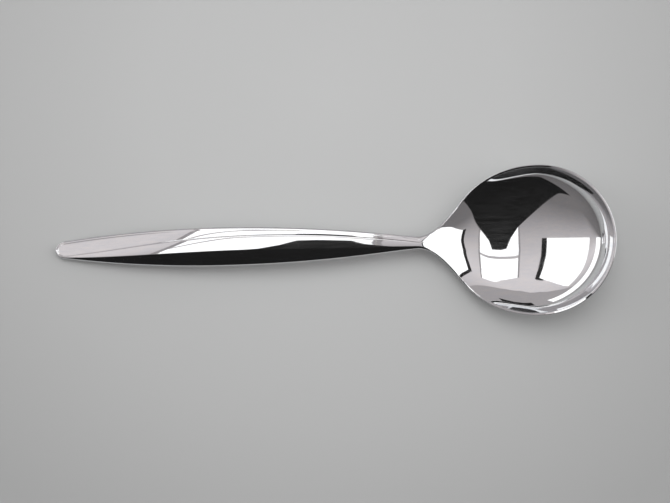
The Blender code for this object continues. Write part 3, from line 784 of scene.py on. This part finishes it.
def build_camera():
    """Camera straight above, turned and framed so both ends of the spoon fall on their places."""
    data = bpy.data.cameras.new("camera")
    data.sensor_fit = "HORIZONTAL"
    data.sensor_width = SENSOR_WIDTH
    camera = bpy.data.objects.new("camera", data)
    bpy.context.scene.collection.objects.link(camera)
    butt = np.array([BUTT_X, 0.0]) / (CAMERA_DISTANCE - 0.5 * BUTT_THICKNESS)
    tip = np.array([TIP_X, 0.0]) / (CAMERA_DISTANCE - BOWL_HIGH.z)
    centre = np.array([0.5 * IMAGE_WIDTH, 0.5 * IMAGE_HEIGHT])
    run, fall = (np.array(PHOTO_TIP) - np.array(PHOTO_BUTT)) * (1.0, -1.0)
    turn = math.atan2(fall, run)
    focal = math.hypot(run, fall) / float(np.linalg.norm(tip - butt))
    data.lens = focal * SENSOR_WIDTH / IMAGE_WIDTH
    along = np.array([math.cos(turn), math.sin(turn)])
    offset = (np.array(PHOTO_BUTT) - centre) * (1.0, -1.0) / focal
    spin = np.array([[along[0], along[1]], [-along[1], along[0]]])
    place = (butt - spin @ offset) * CAMERA_DISTANCE
    camera.location = (place[0], place[1], CAMERA_DISTANCE)
    camera.rotation_euler = (0.0, 0.0, -turn)
    bpy.context.scene.camera = camera


def build_floor():
    """Pale grey paper under the spoon: its own grey, with a painted pool of light that makes it a little
    lighter in the middle and darker outwards.
    """
    bm = bmesh.new()
    bmesh.ops.create_grid(bm, x_segments=1, y_segments=1, size=PAPER_HALF_SIZE)
    mesh = bpy.data.meshes.new("paper")
    bm.to_mesh(mesh)
    bm.free()
    floor = bpy.data.objects.new("paper", mesh)
    bpy.context.scene.collection.objects.link(floor)
    material = bpy.data.materials.new("paper")
    material.use_nodes = True
    nodes = material.node_tree.nodes
    links = material.node_tree.links
    shader = nodes["Principled BSDF"]
    shader.inputs["Roughness"].default_value = PAPER_ROUGHNESS
    place = nodes.new("ShaderNodeTexCoord")
    spread = nodes.new("ShaderNodeMapping")
    spread.vector_type = "TEXTURE"
    spread.inputs["Location"].default_value = PAPER_LIGHT_POOL_CENTRE
    spread.inputs["Scale"].default_value = (PAPER_LIGHT_POOL_REACH, PAPER_LIGHT_POOL_REACH, PAPER_LIGHT_POOL_REACH)
    nearness = nodes.new("ShaderNodeTexGradient")
    nearness.gradient_type = "SPHERICAL"
    # Painted light: the paper's grey is ramped lighter near the middle and darker outwards, a painted pool of
    # light and its falloff
    tones = tone_ramp(nodes, [
        (share, [level * tint for tint in PAPER_TINT]) for share, level in PAPER_LIGHT_POOL_TONES
    ])
    grain = nodes.new("ShaderNodeTexNoise")
    grain.inputs["Scale"].default_value = PAPER_GRAIN
    bump = nodes.new("ShaderNodeBump")
    bump.inputs["Strength"].default_value = PAPER_BUMP
    bump.inputs["Distance"].default_value = PAPER_BUMP_HEIGHT
    links.new(place.outputs["Object"], spread.inputs["Vector"])
    links.new(spread.outputs["Vector"], nearness.inputs["Vector"])
    links.new(nearness.outputs["Fac"], tones.inputs["Fac"])
    links.new(tones.outputs["Color"], shader.inputs["Base Color"])
    links.new(place.outputs["Object"], grain.inputs["Vector"])
    links.new(grain.outputs["Fac"], bump.inputs["Height"])
    links.new(bump.outputs["Normal"], shader.inputs["Normal"])
    mesh.materials.append(material)


def toward(run):
    """Place on the dome round the spoon, in a direction given as sideways runs over height."""
    return Vector((run[0], run[1], 1.0)).normalized() * DOME_RADIUS


def glow(name, colour, strength):
    """Evenly lit or evenly dark surface."""
    material = bpy.data.materials.new(name)
    material.use_nodes = True
    nodes = material.node_tree.nodes
    nodes.remove(nodes["Principled BSDF"])
    emission = nodes.new("ShaderNodeEmission")
    emission.inputs["Color"].default_value = (*colour, 1.0)
    emission.inputs["Strength"].default_value = strength
    material.node_tree.links.new(emission.outputs["Emission"], nodes["Material Output"].inputs["Surface"])
    return material


def add_panel(name, places, material):
    """Flat panel of the studio that shows in the polished metal and lights it."""
    bm = bmesh.new()
    face = bm.faces.new([bm.verts.new(place) for place in places])
    bmesh.ops.triangulate(bm, faces=[face])
    mesh = bpy.data.meshes.new(name)
    bm.to_mesh(mesh)
    bm.free()
    mesh.materials.append(material)
    panel = bpy.data.objects.new(name, mesh)
    bpy.context.scene.collection.objects.link(panel)
    panel.visible_camera = False
    return panel


def strip(line, width):
    """Narrow band beside a line of directions."""
    return list(line) + [(x + width, y) for x, y in reversed(line)]


def build_panels():
    """Three large soft panels with slim frames, low panels beyond them and a dark card near the camera."""
    white = glow("panel_white", (1.0, 1.0, 1.0), PANEL_STRENGTH)
    pale = glow("panel_pale", (1.0, 1.0, 1.0), LOW_LIGHT_STRENGTH)
    rail = glow("transom_grey", WALL_TINT, TRANSOM_STRENGTH)
    grey = glow("frame_grey", WALL_TINT, FRAME_STRENGTH)
    wall = glow("wall_grey", WALL_TINT, LOW_WALL_STRENGTH)
    black = glow("frame_black", (1.0, 1.0, 1.0), BLACK_STRENGTH)
    transom = list(TRANSOM) + [(x, y + TRANSOM_WIDTH) for x, y in reversed(TRANSOM)]
    for name, runs, nearer, material in (
        ("low_wall", LOW_WALL, WALL_FARTHER, wall),
        ("low_dark", LOW_DARK, LOW_NEARER, black),
        ("low_light", LOW_LIGHT, LOW_NEARER, pale),
        ("panel_centre", CENTRE_PANEL, 1.0, white),
        ("panel_right", RIGHT_PANEL, 1.0, white),
        ("panel_left", LEFT_PANEL, 1.0, white),
        ("frame_centre_butt", strip(CENTRE_BUTT_EDGE, -CENTRE_FRAME), FRAME_NEARER, grey),
        ("frame_centre_tip", strip(CENTRE_TIP_EDGE, CENTRE_FRAME), FRAME_NEARER, grey),
        ("transom", transom, FRAME_NEARER, rail),
        ("bar_right", strip(RIGHT_BAR_EDGE, RIGHT_BAR), FRAME_NEARER, black),
        ("sill_right", RIGHT_SILL, FRAME_NEARER, black),
        ("bar_left", strip(LEFT_BAR_EDGE, -LEFT_BAR), FRAME_NEARER, black),
        ("sill_left", LEFT_SILL, FRAME_NEARER, black),
    ):
        add_panel(name, [nearer * toward(run) for run in runs], material)
    card = add_panel("card", [Vector((x, y, CARD_HEIGHT)) for x, y in CARD], black)
    card.visible_diffuse = False
    card.visible_shadow = False


def build_key():
    """Soft lamp high on the far side, which lights the paper and isn't mirrored in the metal."""
    lamp = bpy.data.lights.new("key", "AREA")
    lamp.shape = "DISK"
    lamp.size = KEY_SIZE
    lamp.energy = KEY_POWER
    key = bpy.data.objects.new("key", lamp)
    key.location = KEY_PLACE
    key.rotation_euler = Vector(KEY_PLACE).to_track_quat("Z", "Y").to_euler()
    key.visible_glossy = False
    bpy.context.scene.collection.objects.link(key)


def build_world():
    """Room with a pale wall on the panels' side and a darker one opposite, and a plain backdrop."""
    world = bpy.data.worlds.new("room")
    world.use_nodes = True
    nodes = world.node_tree.nodes
    links = world.node_tree.links
    place = nodes.new("ShaderNodeTexCoord")
    axes = nodes.new("ShaderNodeSeparateXYZ")
    angle = nodes.new("ShaderNodeMath")
    angle.operation = "ARCTAN2"
    share = nodes.new("ShaderNodeMapRange")
    share.inputs["From Min"].default_value = -0.5 * math.pi
    share.inputs["From Max"].default_value = 0.5 * math.pi
    ramp = tone_ramp(nodes, [
        (0.5 + math.atan(run) / math.pi, [level * tint for tint in WALL_TINT]) for run, level in ROOM_TONES
    ])
    links.new(place.outputs["Generated"], axes.inputs["Vector"])
    links.new(axes.outputs["Y"], angle.inputs[0])
    links.new(axes.outputs["Z"], angle.inputs[1])
    links.new(angle.outputs["Value"], share.inputs["Value"])
    links.new(share.outputs["Result"], ramp.inputs["Fac"])
    links.new(ramp.outputs["Color"], nodes["Background"].inputs["Color"])
    backdrop = nodes.new("ShaderNodeBackground")
    backdrop.inputs["Color"].default_value = BACKDROP_TONE
    seen = nodes.new("ShaderNodeLightPath")
    choice = nodes.new("ShaderNodeMixShader")
    links.new(seen.outputs["Is Camera Ray"], choice.inputs["Fac"])
    links.new(nodes["Background"].outputs["Background"], choice.inputs[1])
    links.new(backdrop.outputs["Background"], choice.inputs[2])
    links.new(choice.outputs["Shader"], nodes["World Output"].inputs["Surface"])
    bpy.context.scene.world = world


build_spoon()
build_camera()
build_floor()
build_panels()
build_key()
build_world()
bpy.context.scene.view_settings.view_transform = "Standard"
